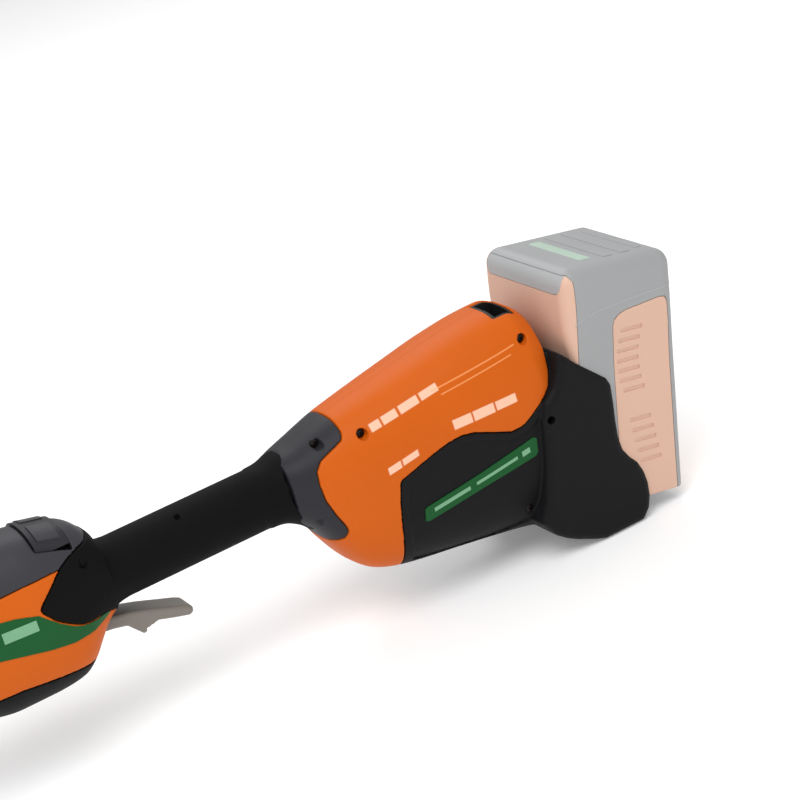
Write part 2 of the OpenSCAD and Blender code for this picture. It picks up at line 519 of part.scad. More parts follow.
pack_cells();
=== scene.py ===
"""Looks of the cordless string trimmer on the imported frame. Tool coordinates are mm along the shaft axis; T() turns them into the row frame in metres."""
import bpy, bmesh, math
import numpy as np
from mathutils import Vector, Matrix


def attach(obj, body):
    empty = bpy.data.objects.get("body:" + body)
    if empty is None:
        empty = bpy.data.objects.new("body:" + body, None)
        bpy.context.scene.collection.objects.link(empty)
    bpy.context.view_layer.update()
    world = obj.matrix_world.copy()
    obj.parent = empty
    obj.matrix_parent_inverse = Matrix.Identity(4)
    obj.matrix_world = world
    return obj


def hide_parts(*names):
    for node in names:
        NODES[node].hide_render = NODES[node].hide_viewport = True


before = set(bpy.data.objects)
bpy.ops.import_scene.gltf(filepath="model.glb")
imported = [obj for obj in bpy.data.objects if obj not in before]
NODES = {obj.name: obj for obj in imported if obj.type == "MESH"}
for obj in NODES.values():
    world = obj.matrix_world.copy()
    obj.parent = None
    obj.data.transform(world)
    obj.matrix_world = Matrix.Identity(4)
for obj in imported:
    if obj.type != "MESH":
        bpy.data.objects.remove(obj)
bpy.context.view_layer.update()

LEAN = math.radians(10.14)
S, C = math.sin(LEAN), math.cos(LEAN)
FRONT = -960 - 150 - 2
REAR = 191.1 + 30.2 * C + 66.8 * S
OX, FZ = -(FRONT + REAR) / 2, 92.0


def T(p):
    return ((p[0] + OX) / 1000, p[1] / 1000, (p[2] + FZ) / 1000)


# ---- materials -------------------------------------------------------------
def nodes_of(name):
    m = bpy.data.materials.new(name)
    m.use_nodes = True
    nt = m.node_tree
    nt.nodes.clear()
    out = nt.nodes.new("ShaderNodeOutputMaterial")
    b = nt.nodes.new("ShaderNodeBsdfPrincipled")
    nt.links.new(b.outputs[0], out.inputs[0])
    return m, nt, b


def lin(c):
    return [((v / 255) / 12.92 if v / 255 <= 0.04045 else ((v / 255 + 0.055) / 1.055) ** 2.4) for v in c]


def plastic(name, rgb, rough=0.5, vary=0.08, grain=900.0, bump=0.12, metal=0.0, spec=0.5, stretch=None, coat=0.0, dirt=0.0, stripes=None):
    """Moulded plastic: a fine grain in the bump, a slow mottling in the colour and in the roughness."""
    m, nt, b = nodes_of(name)
    L = nt.links.new
    tc = nt.nodes.new("ShaderNodeTexCoord")
    mp = nt.nodes.new("ShaderNodeMapping")
    L(tc.outputs["Object"], mp.inputs[0])
    if stretch:
        mp.inputs["Scale"].default_value = stretch
    n1 = nt.nodes.new("ShaderNodeTexNoise")
    n1.inputs["Scale"].default_value = grain
    n1.inputs["Detail"].default_value = 3
    L(mp.outputs[0], n1.inputs["Vector"])
    n2 = nt.nodes.new("ShaderNodeTexNoise")
    n2.inputs["Scale"].default_value = 22
    n2.inputs["Detail"].default_value = 4
    L(mp.outputs[0], n2.inputs["Vector"])
    base = lin(rgb)
    lo = [v * (1 - vary) for v in base] + [1]
    hi = [min(1, v * (1 + vary)) for v in base] + [1]
    mix = nt.nodes.new("ShaderNodeMix")
    mix.data_type = "RGBA"
    mix.inputs[6].default_value = lo
    mix.inputs[7].default_value = hi
    L(n2.outputs[0], mix.inputs[0])
    col = mix.outputs[2]
    if stripes:
        col = stripes(nt, tc, col)
    L(col, b.inputs["Base Color"])
    mr = nt.nodes.new("ShaderNodeMapRange")
    mr.inputs[3].default_value = max(0.04, rough - 0.06)
    mr.inputs[4].default_value = min(1, rough + 0.06)
    L(n2.outputs[0], mr.inputs[0])
    L(mr.outputs[0], b.inputs["Roughness"])
    bm_ = nt.nodes.new("ShaderNodeBump")
    bm_.inputs["Strength"].default_value = bump
    bm_.inputs["Distance"].default_value = 0.0004
    L(n1.outputs[0], bm_.inputs["Height"])
    L(bm_.outputs[0], b.inputs["Normal"])
    b.inputs["Metallic"].default_value = metal
    b.inputs["Specular IOR Level"].default_value = spec
    b.inputs["Coat Weight"].default_value = coat
    return m


def band(nt, sock, a, b, soft):
    """1 between a and b, 0 outside, with soft edges."""
    r = nt.nodes.new("ShaderNodeMapRange")
    r.interpolation_type = "SMOOTHSTEP"
    r.inputs[1].default_value, r.inputs[2].default_value = a - soft, a + soft
    nt.links.new(sock, r.inputs[0])
    q = nt.nodes.new("ShaderNodeMapRange")
    q.interpolation_type = "SMOOTHSTEP"
    q.inputs[1].default_value, q.inputs[2].default_value = b - soft, b + soft
    q.inputs[3].default_value, q.inputs[4].default_value = 1, 0
    nt.links.new(sock, q.inputs[0])
    k = nt.nodes.new("ShaderNodeMath")
    k.operation = "MULTIPLY"
    nt.links.new(r.outputs[0], k.inputs[0])
    nt.links.new(q.outputs[0], k.inputs[1])
    return k.outputs[0]


def print_and_highlight_bars(marks, rgb, strength=0.85):
    """Pale bars laid into the colour, used for printed marks and for painted highlight lines: each mark is (x0, x1, z
    centre at x0, slope, half height), in tool mm, on both sides.
    """
    def go(nt, tc, col):
        L = nt.links.new
        sep = nt.nodes.new("ShaderNodeSeparateXYZ")
        L(tc.outputs["Object"], sep.inputs[0])
        for x0, x1, z0, k, h in marks:
            a = nt.nodes.new("ShaderNodeMath")      # z - (zc + k (x - x0))
            a.operation = "MULTIPLY_ADD"
            L(sep.outputs[0], a.inputs[0])
            a.inputs[1].default_value = -k
            zc = (z0 + FZ) / 1000 - k * (x0 + OX) / 1000
            a.inputs[2].default_value = -zc
            s = nt.nodes.new("ShaderNodeMath")
            s.operation = "ADD"
            L(sep.outputs[2], s.inputs[0])
            L(a.outputs[0], s.inputs[1])
            inz = band(nt, s.outputs[0], -h / 1000, h / 1000, 0.0003)
            inx = band(nt, sep.outputs[0], (x0 + OX) / 1000, (x1 + OX) / 1000, 0.0004)
            k2 = nt.nodes.new("ShaderNodeMath")
            k2.operation = "MULTIPLY"
            L(inz, k2.inputs[0])
            L(inx, k2.inputs[1])
            k3 = nt.nodes.new("ShaderNodeMath")
            k3.operation = "MULTIPLY"
            L(k2.outputs[0], k3.inputs[0])
            k3.inputs[1].default_value = strength
            mx = nt.nodes.new("ShaderNodeMix")
            mx.data_type = "RGBA"
            L(k3.outputs[0], mx.inputs[0])
            L(col, mx.inputs[6])
            mx.inputs[7].default_value = lin(rgb) + [1]
            col = mx.outputs[2]
        return col
    return go


SHELL_MARKS = [(47, 53, 19.8, 0.165, 1.9), (54.2, 63, 21.0, 0.165, 1.9), (64.6, 76, 22.7, 0.165, 1.9), (77.4, 88, 24.8, 0.165, 1.8),
               (88, 99, 6.0, 0.0, 2.6), (100, 112.5, 6.0, 0.0, 2.6), (113.6, 126, 6.0, 0.0, 2.4), (47.5, 55, -3.4, 0.2, 1.9), (56, 65.5, -1.6, 0.2, 1.7)]
# painted highlight: two thin light-orange lines along the shell's upper crease, where light catches the ridge, laid
# into the colour like print
HIGHLIGHT_LINES = [(84, 136, 25.4, 0.095, 0.28), (88, 132, 22.4, 0.098, 0.26)]


def prints_and_highlights(nt, tc, col):
    col = print_and_highlight_bars(SHELL_MARKS, (250, 205, 176), 0.85)(nt, tc, col)
    # the light orange bars here are painted highlight lines, not print
    return print_and_highlight_bars(HIGHLIGHT_LINES, (250, 170, 110), 0.7)(nt, tc, col)


M = {
    # the shell's orange carries the printed pale marks and the painted highlight lines
    "orange": plastic("orange", (204, 93, 14), 0.5, 0.05, 1500, 0.08, spec=0.15, stripes=prints_and_highlights),
    "orange_plain": plastic("orange_plain", (204, 93, 14), 0.5, 0.05, 1500, 0.08, spec=0.15),
    "dark": plastic("dark", (20, 20, 22), 0.55, 0.10, 1200, 0.16, spec=0.12),
    "darker": plastic("darker", (12, 12, 13), 0.58, 0.10, 1200, 0.16, spec=0.12),
    "grey": plastic("grey", (56, 56, 61), 0.5, 0.08, 1300, 0.12, spec=0.2),
    "collar": plastic("collar", (42, 42, 47), 0.5, 0.08, 1300, 0.12, spec=0.2),
    "rubber": plastic("rubber", (12, 12, 12), 0.7, 0.12, 1400, 0.3, spec=0.09),
    "warm": plastic("warm", (122, 115, 108), 0.5, 0.06, 1300, 0.1),
    "green": plastic("green", (8, 82, 34), 0.4, 0.08, 900, 0.05, spec=0.2),
    "print": plastic("print", (112, 166, 126), 0.4, 0.1, 900, 0.05),
    "pale": plastic("pale", (216, 176, 154), 0.5, 0.03, 1300, 0.08),
    "palegrey": plastic("palegrey", (156, 157, 158), 0.5, 0.04, 1300, 0.1),
    "palegrey2": plastic("palegrey2", (168, 170, 171), 0.5, 0.04, 1300, 0.1),
    "palegreen": plastic("palegreen", (172, 194, 178), 0.5, 0.04, 1300, 0.06),
    "steel": plastic("steel", (186, 188, 192), 0.28, 0.06, 700, 0.06, metal=1.0, stretch=(1, 1, 8)),
    "screw": plastic("screw", (40, 36, 34), 0.45, 0.08, 900, 0.06, metal=0.8),
    "alu": plastic("alu", (196, 199, 204), 0.34, 0.05, 260, 0.08, metal=1.0, stretch=(0.15, 6, 6)),
    "copper": plastic("copper", (196, 120, 66), 0.34, 0.08, 900, 0.08, metal=1.0),
    "brass": plastic("brass", (200, 160, 84), 0.3, 0.08, 900, 0.05, metal=1.0),
    "board": plastic("board", (30, 92, 52), 0.35, 0.15, 500, 0.08),
    "cable": plastic("cable", (30, 30, 32), 0.6, 0.1, 900, 0.1),
    "cell": plastic("cell", (58, 110, 160), 0.3, 0.06, 600, 0.04),
    "line": plastic("line", (226, 214, 160), 0.35, 0.1, 500, 0.5, stretch=(1, 1, 12)),
    "red": plastic("red", (196, 76, 30), 0.42, 0.06, 1300, 0.1),
    "white": plastic("white", (205, 205, 202), 0.45, 0.05, 1300, 0.08),
    "black": plastic("black", (12, 12, 13), 0.6, 0.1, 900, 0.1),
}

# ---- mesh helpers ----------------------------------------------------------
SC = bpy.context.scene.collection


def new(name, verts, faces, mm=True):
    me = bpy.data.meshes.new(name)
    me.from_pydata([T(v) for v in verts] if mm else [tuple(v) for v in verts], [], [tuple(f) for f in faces])
    me.validate()
    ob = bpy.data.objects.new(name, me)
    SC.objects.link(ob)
    bm = bmesh.new()
    bm.from_mesh(me)
    bmesh.ops.recalc_face_normals(bm, faces=bm.faces)
    bm.to_mesh(me)
    bm.free()
    return ob


def pchip(xs, ys, xq):
    xs, ys = np.array(xs, float), np.array(ys, float)
    h = np.diff(xs)
    d = np.diff(ys) / h
    m = np.zeros(len(xs))
    m[0], m[-1] = d[0], d[-1]
    for i in range(1, len(xs) - 1):
        if d[i - 1] * d[i] > 0:
            w1, w2 = 2 * h[i] + h[i - 1], h[i] + 2 * h[i - 1]
            m[i] = (w1 + w2) / (w1 / d[i - 1] + w2 / d[i])
    out = []
    for x in xq:
        i = min(max(int(np.searchsorted(xs, x)) - 1, 0), len(h) - 1)
        t = (x - xs[i]) / h[i]
        out.append((1 + 2 * t) * (1 - t) ** 2 * ys[i] + t * (1 - t) ** 2 * h[i] * m[i] + t * t * (3 - 2 * t) * ys[i + 1] + t * t * (t - 1) * h[i] * m[i + 1])
    return np.array(out)


def loft(name, st, n=2.7, d=0.0, nr=112, step=1.2):
    st = [list(s) for s in st]
    x0, x1 = st[0][0], st[-1][0]
    k = max(2, int((x1 - x0) / step))
    xq = np.linspace(x0, x1, k)
    top, bot, w = (pchip([s[0] for s in st], [s[j] for s in st], xq) for j in (1, 2, 3))
    V, Fc = [], []
    for x, t, b, ww in zip(xq, top - d, bot + d, w - d):
        c, h = (t + b) / 2, (t - b) / 2
        for i in range(nr):
            a = 2 * math.pi * i / nr
            u, v = math.cos(a), math.sin(a)
            V.append((x, ww * math.copysign(abs(u) ** (2 / n), u), c + h * math.copysign(abs(v) ** (2 / n), v)))
    for j in range(k - 1):
        for i in range(nr):
            i2 = (i + 1) % nr
            Fc.append((j * nr + i, (j + 1) * nr + i, (j + 1) * nr + i2, j * nr + i2))
    Fc.append(tuple(range(nr)))
    Fc.append(tuple((k - 1) * nr + i for i in reversed(range(nr))))
    return new(name, V, Fc)


def prism(name, p, y0, y1):
    n = len(p)
    V = [(x, y0, z) for x, z in p] + [(x, y1, z) for x, z in p]
    Fc = [tuple(range(n)), tuple(reversed(range(n, 2 * n)))] + [(i, (i + 1) % n, n + (i + 1) % n, n + i) for i in range(n)]
    return new(name, V, Fc)


def box(name, a, b):
    return prism(name, [(a[0], a[2]), (b[0], a[2]), (b[0], b[2]), (a[0], b[2])], a[1], b[1])


def cyl(name, p, q, r, n=48, r2=None):
    p, q = Vector(p), Vector(q)
    r2 = r if r2 is None else r2
    w = (q - p).normalized()
    u = w.orthogonal().normalized()
    v = w.cross(u)
    V = [tuple(p + (u * math.cos(a) + v * math.sin(a)) * r) for a in (2 * math.pi * i / n for i in range(n))]
    V += [tuple(q + (u * math.cos(a) + v * math.sin(a)) * r2) for a in (2 * math.pi * i / n for i in range(n))]
    Fc = [tuple(range(n)), tuple(reversed(range(n, 2 * n)))] + [(i, (i + 1) % n, n + (i + 1) % n, n + i) for i in range(n)]
    return new(name, V, Fc)


def lathe(name, prof, p, axis=(0, 0, 1), n=96):
    """prof is [(r, h), ...] closed onto the axis, turned about the axis through p."""
    p, w = Vector(p), Vector(axis).normalized()
    u = w.orthogonal().normalized()
    v = w.cross(u)
    V, Fc = [], []
    for r, h in prof:
        for i in range(n):
            a = 2 * math.pi * i / n
            V.append(tuple(p + w * h + (u * math.cos(a) + v * math.sin(a)) * r))
    for j in range(len(prof) - 1):
        for i in range(n):
            Fc.append((j * n + i, j * n + (i + 1) % n, (j + 1) * n + (i + 1) % n, (j + 1) * n + i))
    Fc.append(tuple(reversed(range(n))))
    Fc.append(tuple((len(prof) - 1) * n + i for i in range(n)))
    ob = new(name, V, Fc)
    bm = bmesh.new()
    bm.from_mesh(ob.data)
    bmesh.ops.remove_doubles(bm, verts=bm.verts, dist=1e-6)
    bmesh.ops.recalc_face_normals(bm, faces=bm.faces)
    bm.to_mesh(ob.data)
    bm.free()
    return ob


def torus(name, c, axis, R, r, n=72, k=18, a0=0, a1=2 * math.pi):
    c, w = Vector(c), Vector(axis).normalized()
    u = w.orthogonal().normalized()
    v = w.cross(u)
    V, Fc = [], []
    for i in range(n):
        a = 2 * math.pi * i / n
        d = u * math.cos(a) + v * math.sin(a)
        for j in range(k):
            b = 2 * math.pi * j / k
            V.append(tuple(c + d * (R + r * math.cos(b)) + w * r * math.sin(b)))
    for i in range(n):
        for j in range(k):
            Fc.append((i * k + j, ((i + 1) % n) * k + j, ((i + 1) % n) * k + (j + 1) % k, i * k + (j + 1) % k))
    return new(name, V, Fc)


def apply_mods(ob):
    dg = bpy.context.evaluated_depsgraph_get()
    dg.update()
    me = bpy.data.meshes.new_from_object(ob.evaluated_get(dg))
    ob.modifiers.clear()
    old = ob.data
    ob.data = me
    bpy.data.meshes.remove(old)
    return ob


def drop(*obs):
    for o in obs:
        me = o.data
        bpy.data.objects.remove(o)
        if me.users == 0:
            bpy.data.meshes.remove(me)


def boole(ob, other, op, keep=False):
    m = ob.modifiers.new("b", "BOOLEAN")
    m.operation, m.solver, m.object = op, "EXACT", other
    apply_mods(ob)
    if not keep:
        drop(other)
    return ob


def cut(ob, other, keep=False):
    return boole(ob, other, "DIFFERENCE", keep)


def meet(ob, other, keep=False):
    return boole(ob, other, "INTERSECT", keep)


def copy(ob, name):
    o = ob.copy()
    o.data = ob.data.copy()
    o.name = name
    SC.objects.link(o)
    return o


def join(name, *obs):
    bm = bmesh.new()
    for o in obs:
        bm.from_mesh(o.data)
    me = bpy.data.meshes.new(name)
    bm.to_mesh(me)
    bm.free()
    out = bpy.data.objects.new(name, me)
    SC.objects.link(out)
    drop(*obs)
    return out


def mould(ob, voxel=0.8, soften=5, factor=0.5):
    """Fuses what is in the mesh and rounds its edges the way a mould does."""
    m = ob.modifiers.new("r", "REMESH")
    m.mode, m.voxel_size, m.use_smooth_shade = "VOXEL", voxel / 1000, True
    if soften:
        s = ob.modifiers.new("s", "SMOOTH")
        s.iterations, s.factor = soften, factor
    return apply_mods(ob)


def grow(ob, d):
    """Moves the surface out by d mm along its normals."""
    me = ob.data
    n = [v.normal.copy() for v in me.vertices]
    for v, k in zip(me.vertices, n):
        v.co += k * (d / 1000)
    return ob


def smooth(ob, angle=40):
    for p in ob.data.polygons:
        p.use_smooth = True
    if angle is not None:
        ob.data.set_sharp_from_angle(angle=math.radians(angle))
    return ob


def bevel(ob, w=0.6, seg=3, angle=35):
    b = ob.modifiers.new("bevel", "BEVEL")
    b.width, b.segments, b.limit_method, b.angle_limit = w / 1000, seg, "ANGLE", math.radians(angle)
    b.harden_normals = False
    n = ob.modifiers.new("wn", "WEIGHTED_NORMAL")
    n.keep_sharp = True
    for p in ob.data.polygons:
        p.use_smooth = True
    return ob


def done(ob, mat, body):
    ob.data.materials.clear()
    ob.data.materials.append(M[mat])
    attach(ob, body)
    return ob


def frame_pt(a, b, c):
    """Battery frame (depth, width, height) to tool mm."""
    return (191.1 + a * C + c * S, b, -13.4 - a * S + c * C)


def halfbox(s, gap=0.14):
    return box("half", (-260, -100 if s < 0 else gap, -130), (220, -gap if s < 0 else 100, 90))


# ---- rear body -------------------------------------------------------------
rear_st = [[0, 17.8, -18.6, 17.8], [4, 18.9, -21.6, 20.2], [9, 20.2, -27, 22.5], [15.5, 22.2, -39, 25], [23.6, 24.8, -51.5, 27.5],
           [34, 27.8, -60.4, 30], [46, 30.3, -64.7, 32], [58, 32.6, -67, 33.6], [80, 36.8, -70.2, 35.4], [106, 41.6, -74.4, 37],
           [128, 44.3, -79, 37.6], [142, 45, -86, 37.2], [148, 42.8, -88, 36], [152.4, 39.5, -88, 34.5]]
collar_line = [[35.5, 60], [35.2, 34], [34, 27.4], [33.4, 21.6], [31.6, 19.0], [17.8, 13.4], [13.6, 9], [12.6, 2], [13.3, -6.6], [16.2, -16], [19.4, -23.4], [20.2, -27], [18.2, -30.4], [10, -33.4], [0, -37]]
panel_line = [[46, -95], [46.4, -70], [46.6, -45], [47.4, -33], [49.4, -21.2], [52.0, -11.6], [53.2, -10.5], [58.5, -8.8], [67, -6.0], [76.8, -3.1], [84, -1.6], [91, -1.1], [98, -2.4],
              [108, -6.6], [118.4, -10.8], [126, -10.2], [134, -6.2], [141, -1.8], [146.6, 3], [150, 10], [152.4, 20], [154, 26]]


def shift(line, d):
    """Moves an open [x, z] line sideways by d, to its left as it is walked."""
    out = []
    for i, p in enumerate(line):
        a, b = line[max(0, i - 1)], line[min(len(line) - 1, i + 1)]
        t = Vector((b[0] - a[0], b[1] - a[1]))
        t.normalize()
        out.append([p[0] - t.y * d, p[1] + t.x * d])
    return out


# walking the collar line downwards, its left side is the rear; walking the panel line upwards, its left side is the front
def collar_prism(d, name="cp"):
    return prism(name, [[-30, 60]] + shift(collar_line, d) + [[-30, -40 - d]], -70, 70)


def panel_prism(d, name="pp"):
    return prism(name, shift(panel_line, d) + [[170, 26], [170, -130], [46, -130]], -70, 70)


skin = loft("skin", rear_st)
SCREWS = [(20.4, 20.2, -8, "c"), (42.4, 18.4, -15, "o"), (142.2, 30.4, -16, "o"), (121.0, -59, -22, "d"), (140.4, -12.8, -22, "d")]


def surf_y(x, z):
    """Half width of the rear body at x, z."""
    t, b, w = (pchip([s[0] for s in rear_st], [s[j] for s in rear_st], [x])[0] for j in (1, 2, 3))
    c, h = (t + b) / 2, (t - b) / 2
    u = 1 - min(1, abs((z - c) / h)) ** 2.7
    return w * max(0, u) ** (1 / 2.7)


# collar of the handle core
for s, side in ((-1, "left"), (1, "right")):
    o = copy(skin, "collar_" + side)
    meet(o, collar_prism(-0.2))
    meet(o, halfbox(s, -3))
    cut(o, cyl("x", (-5, 0, 0), (5, 0, 0), 10.8))
    if s < 0:
        cut(o, cyl("x", (20.4, -40, 20.2), (20.4, -11.8, 20.2), 2.7))
        cut(o, box("x", (4.6, -30, -20.2), (10, -18.5, -16)))
        cut(o, box("x", (20.5, -30, 8.5), (25.5, -23.2, 15.5)))
    mould(o, 0.55, 3)
    meet(o, halfbox(s, 0.02))
    tube = meet(cut(cyl("t", (-111, 0, 0), (2, 0, 0), 13.6), cyl("x", (-120, 0, 0), (8, 0, 0), 10.8)), halfbox(s, 0.05))
    o = join("handle_core_" + side + "_look", o, smooth(tube, 40))
    done(o, "collar", "main_body")
    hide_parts("handle_core_" + side)

# orange shells
for s, side in ((-1, "left"), (1, "right")):
    o = copy(skin, "shell_" + side)
    cut(o, collar_prism(0.25))
    cut(o, panel_prism(0.25))
    meet(o, halfbox(s, -3))
    cut(o, box("x", (135.0, -15.6, 28), (148.2, 9.4, 70)))
    if s < 0:
        for x, z in ((42.4, 18.4), (142.2, 30.4)):
            cut(o, cyl("x", (x, -60, z), (x, -surf_y(x, z) + 4.8, z), 2.9))
    else:
        for x, z in ((43, 18), (139, 26)):
            cut(o, cyl("x", (x, surf_y(x, z) - 2, z), (x, 60, z), 2.6))
    mould(o, 0.55, 3)
    meet(o, halfbox(s, 0.02))
    o.name = "rear_shell_" + side + "_look"
    done(o, "orange", "main_body")
    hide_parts("rear_shell_" + side)

# dark panel and dock
dock_side = [[139.5, -3.4], [146.6, 2.4], [150.5, 9], [152.8, 17], [154.6, 19.8], [158, 16.5], [162.5, 11.6], [168, 6], [175, -0.8], [179.4, -5.2], [181.1, -9.9],
             [180.3, -20], [179.1, -29.8], [178.4, -40], [179.2, -47.4], [182.4, -53.4], [186.3, -58.3], [188.8, -65], [189.8, -72], [189.2, -80], [187, -86.5], [182, -91.9], [157, -91.9], [151.4, -90],
             [139.5, -84.5], [133.6, -81], [128.4, -76.8], [121.4, -66.8], [127, -55], [131, -40], [134, -25], [136, -12]]


def inset(poly, d):
    n, out = len(poly), []
    area = sum(poly[i][0] * poly[(i + 1) % n][1] - poly[(i + 1) % n][0] * poly[i][1] for i in range(n))
    sg = 1 if area > 0 else -1
    for i in range(n):
        a, p, b = Vector(poly[i - 1]), Vector(poly[i]), Vector(poly[(i + 1) % n])
        n1 = Vector((-(p - a).y, (p - a).x)).normalized() * sg
        n2 = Vector((-(b - p).y, (b - p).x)).normalized() * sg
        m = (n1 + n2).normalized()
        out.append(list(p + m * d / max(0.55, m.dot(n1))))
    return out


def pillow(name, poly, hw, r, steps=5):
    """A plate with the outline poly and rounded rims of radius r on both faces."""
    n = len(poly)
    V, Fc = [], []
    rows = []
    for k in range(steps + 1):
        a = math.pi / 2 * k / steps
        rows.append((-hw + r * (1 - math.sin(a)), r * (1 - math.cos(a))))
    # from the left face's inset outline, out to the rim, across, and back
    prof = [(y, d) for y, d in reversed(rows)] + [(-y, d) for y, d in rows]
    for y, d in prof:
        for x, z in inset(poly, d):
            V.append((x, y, z))
    for j in range(len(prof) - 1):
        for i in range(n):
            Fc.append((j * n + i, j * n + (i + 1) % n, (j + 1) * n + (i + 1) % n, (j + 1) * n + i))
    Fc.append(tuple(range(n)))
    Fc.append(tuple(reversed(range((len(prof) - 1) * n, len(prof) * n))))
    return new(name, V, Fc)


def packbox(name, a, b):
    """Box in the battery frame."""
    V = [frame_pt(x, y, z) for x in (a[0], b[0]) for y in (a[1], b[1]) for z in (a[2], b[2])]
    return new(name, V, [(0, 1, 3, 2), (4, 6, 7, 5), (0, 4, 5, 1), (2, 3, 7, 6), (0, 2, 6, 4), (1, 5, 7, 3)])


PF, PH, PW = -30.2, 66.8, 38.4
for s, side in ((-1, "left"), (1, "right")):
    a = copy(skin, "panel")
    meet(a, panel_prism(-0.25))
    # the panel's field is a little sunk inside a raised border
    f = inset([[p[0], p[1]] for p in shift([[46.6, -45], [47.4, -33], [49.6, -21.2], [52.6, -12.6], [58.5, -8.6], [67, -5.8], [76.8, -3.1], [84, -1.6], [91, -1.1], [98, -2.4], [108, -6.6], [118.4, -10.8], [126, -10.2], [134, -6.2]], -4.6)] + [[136, -20], [133, -45], [128, -60], [121, -68], [100, -69.5], [75, -66.5], [52.4, -61]], 0)
    inner = loft("inner", rear_st, d=1.1)
    field = prism("f", f, -60, 60)
    outer = loft("outer", rear_st, d=-2)
    cut(outer, inner)
    meet(outer, field)
    cut(a, outer)
    b = pillow("cheek", dock_side, 41.2, 4.0)
    b = meet(b, halfbox(s))
    meet(a, halfbox(s))
    a = join("dj", a, b)
    mould(a, 0.55, 3)
    cut(a, packbox("x", (PF - 0.5, -PW - 0.7, -PH - 0.5), (PF + 90, PW + 0.7, 190)))
    cut(a, packbox("x", (PF - 4.8, -PW - 0.7, 5.4), (PF + 90, PW + 0.7, 190)))
    if s < 0:
        cut(a, cyl("x", (121.0, -60, -59), (121.0, -surf_y(121.0, -59) + 3, -59), 2.3))
        cut(a, cyl("x", (140.4, -60, -12.8), (140.4, -34.8, -12.8), 2.3))
    cut(a, packbox("x", (PF - 8, -14.2, -64.2), (PF + 4, 14.2, -49.8)))
    # rails on the spine
    rails = [packbox("r", (PF - 0.8, -19 if s < 0 else 17, -58), (PF + 2.8, -17 if s < 0 else 19, 12)), packbox("r", (PF + 2.6, -23 if s < 0 else 17, -58), (PF + 4.6, -17 if s < 0 else 23, 12))]
    smooth(a, 45)
    a = join("dock_" + side + "_look", a, *rails)
    done(a, "dark", "main_body")
    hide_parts("dock_" + side)
drop(skin)


def screw(name, x, y, z, r=2.7, mat="screw", body="main_body", sgn=-1):
    """Pan head with a six-lobe recess, facing -Y."""
    o = lathe(name, [(0.01, 0), (r, 0), (r, 0.5), (r * 0.93, 1.0), (r * 0.7, 1.35), (0.01, 1.5)], (x, y, z), (0, sgn, 0), 40)
    star = []
    for i in range(24):
        a = 2 * math.pi * i / 24
        q = r * (0.5 if (i // 2) % 2 == 0 else 0.34)
        star.append((x + q * math.cos(a), z + q * math.sin(a)))
    cut(o, prism("x", star, y - 3, y - 0.6) if sgn < 0 else prism("x", star, y + 0.6, y + 3))
    smooth(o, 35)
    return done(o, mat, body)


heads = []
for x, z, y, k in SCREWS:
    yy = {"c": -11.6, "o": -surf_y(x, z) + 4.4, "d": (-surf_y(x, z) + 2.6 if x < 135 else -35.0)}[k]
    heads.append((x, yy, z))
for i, (x, y, z) in enumerate(heads):
    screw("housing_screw_%d" % i, x, y, z, 2.5 if i < 3 else 2.1)

# socket on the crest
o = meet(box("socket", (135.2, -15.4, 29), (148.0, 9.2, 60)), loft("x", rear_st, d=0.9))
cut(o, box("x", (137, -13.6, 31), (146.2, 7.4, 60)))
bevel(o, 0.5, 2)
o.name = "socket_insert_look"
done(o, "black", "main_body")
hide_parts("socket_insert")
for y in (-9, -3, 3):
    o = prism("socket_fin_%d" % (y + 9), [(137.2, 30), (146, 30), (146, 36.4), (137.2, 37.0)], y - 0.6, y + 0.6)
    bevel(o, 0.2, 2)
    done(o, "darker", "main_body")

# green label on the panel, with pale generic bars
bad = [[60, -37.6], [61.0, -31.2], [62.6, -30.4], [96, -25.0], [129.6, -19.0], [131.4, -20.2], [130.4, -28.0], [128.6, -29.4], [96, -33.4], [62, -38.6]]
for nm, poly, d0, d1, mat in (("badge_field", bad, 0.75, 0.05, "green"),):
    a = loft("a", rear_st, d=0.55)
    cut(a, loft("b", rear_st, d=1.4))
    meet(a, prism("c", poly, -60, 60))
    smooth(a, 40)
    a.name = "side_badges_look"
    done(a, mat, "main_body")
    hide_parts("side_badges")
for i, (x0, x1, t0, t1) in enumerate(((66, 88, 0.30, 0.62), (92, 118, 0.34, 0.60), (121, 126, 0.25, 0.7))):
    q = [(x0, t0), (x1, t0), (x1, t1), (x0, t1)]
    poly = [(x, -37.4 + (x - 60) * 0.148 + t * 6.6) for x, t in q]
    a = loft("a", rear_st, d=0.4)
    cut(a, loft("b", rear_st, d=1.0))
    meet(a, prism("c", poly, -60, 60))
    smooth(a, 40)
    a.name = "badge_bar_%d" % i
    done(a, "print", "main_body")

# ---- grip ------------------------------------------------------------------
g = cyl("grip", (-103.4, 0, 0), (-1, 0, 0), 16.4, 160)
fl = loft("fl", [[-13, 16.3, -16.3, 16.3], [-8, 16.6, -16.7, 16.5], [-4, 17.3, -17.6, 17.2], [0, 18.6, -19.6, 18.7], [4, 19.6, -22.3, 20.9], [9, 20.9, -27.5, 23.1]], 2.3, nr=96, step=0.8)
cut(fl, prism("x", [[9.5, 40], [9.5, 22], [4.5, 19.5], [0.5, 15.5], [-1.6, 10], [-2.0, 3], [-1.2, -4], [0.6, -10], [4, -17], [8, -23], [9.5, -30], [9.5, -40], [60, -40], [60, 40]], -60, 60))
cut(fl, cyl("x", (-2, 0, 0), (30, 0, 0), 14.6))
